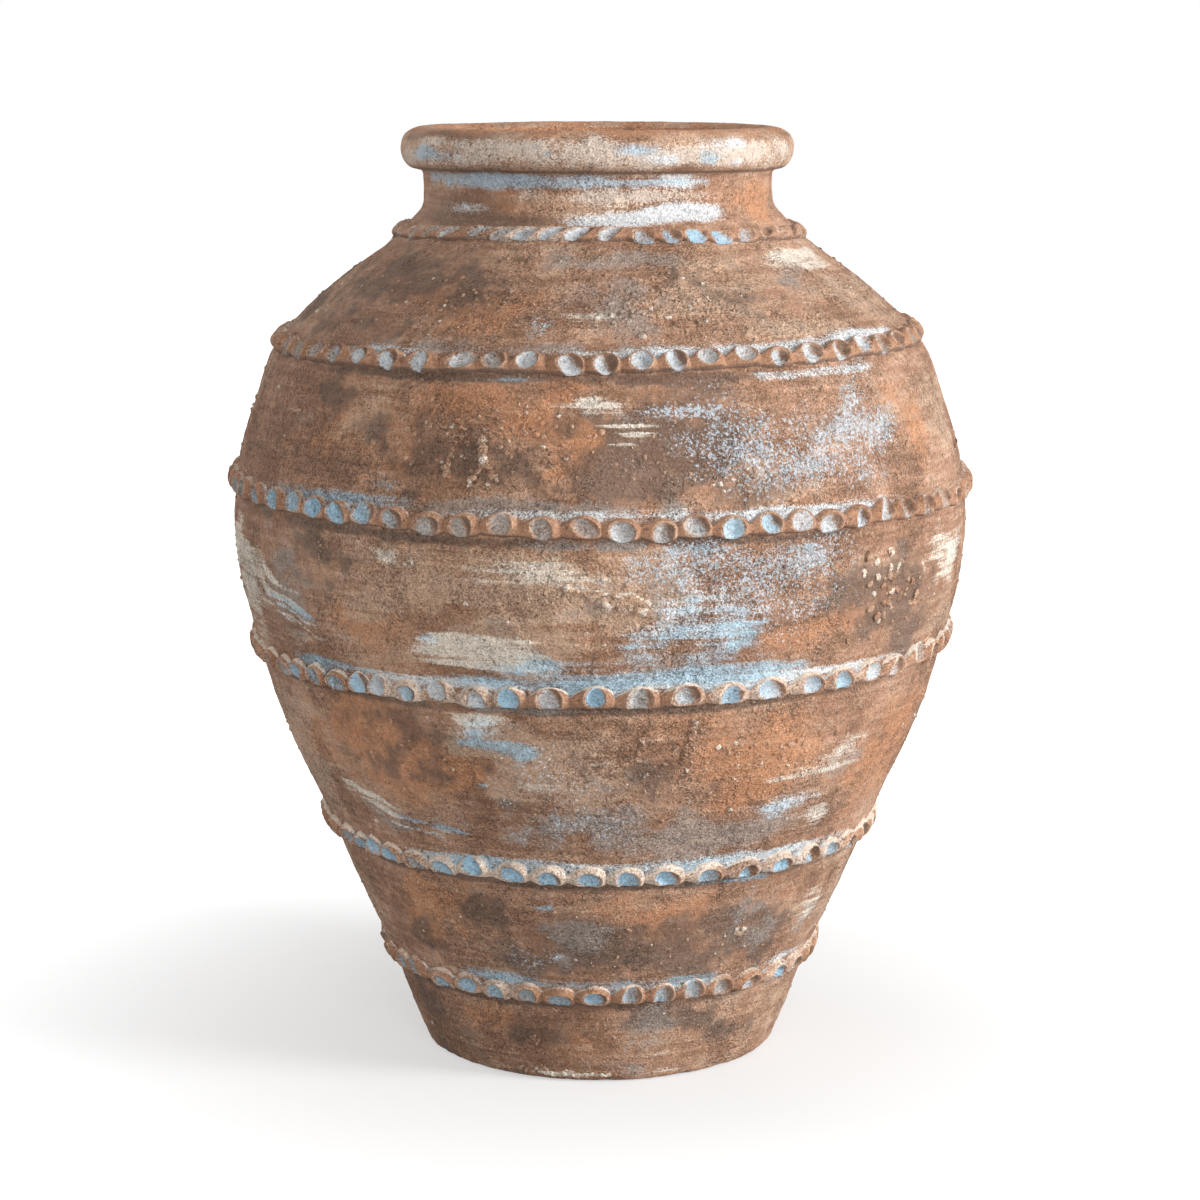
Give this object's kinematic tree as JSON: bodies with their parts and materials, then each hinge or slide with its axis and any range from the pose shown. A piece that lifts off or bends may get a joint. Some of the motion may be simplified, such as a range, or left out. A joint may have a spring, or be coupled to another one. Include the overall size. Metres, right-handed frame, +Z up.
{
  "type": "terracotta jar",
  "caption": "Tall round-bellied storage jar of weathered terracotta with a short neck, a rolled rim and finger-pressed clay bands round its wall.",
  "frame": {"origin": "centre of the flat underside, on the surface the jar stands on", "axes": "+Z up along the jar's axis, from the base to the mouth; -Y faces the viewer of the picture"},
  "size_m": [0.4668, 0.4668, 0.58],
  "materials": {
    "terracotta": "rough unglazed fired clay, weathered, with worn limewash and blue wash",
    "limewashed_clay": "rough unglazed fired clay under thin pale limewash",
    "band_clay": "rough unglazed fired clay, with blue and white wash left in the finger marks"
  },
  "bodies": {
    "root": {"base": "terracotta", "foot_wall": "terracotta", "lower_wall": "terracotta", "lower_belly_wall": "terracotta", "belly_wall": "terracotta", "shoulder_wall": "terracotta", "upper_shoulder_wall": "terracotta", "neck": "limewashed_clay", "rim": "limewashed_clay", "foot_band": "band_clay", "lower_band": "band_clay", "lower_belly_band": "band_clay", "belly_band": "band_clay", "shoulder_band": "band_clay", "neck_band": "band_clay"}
  },
  "joints": []
}
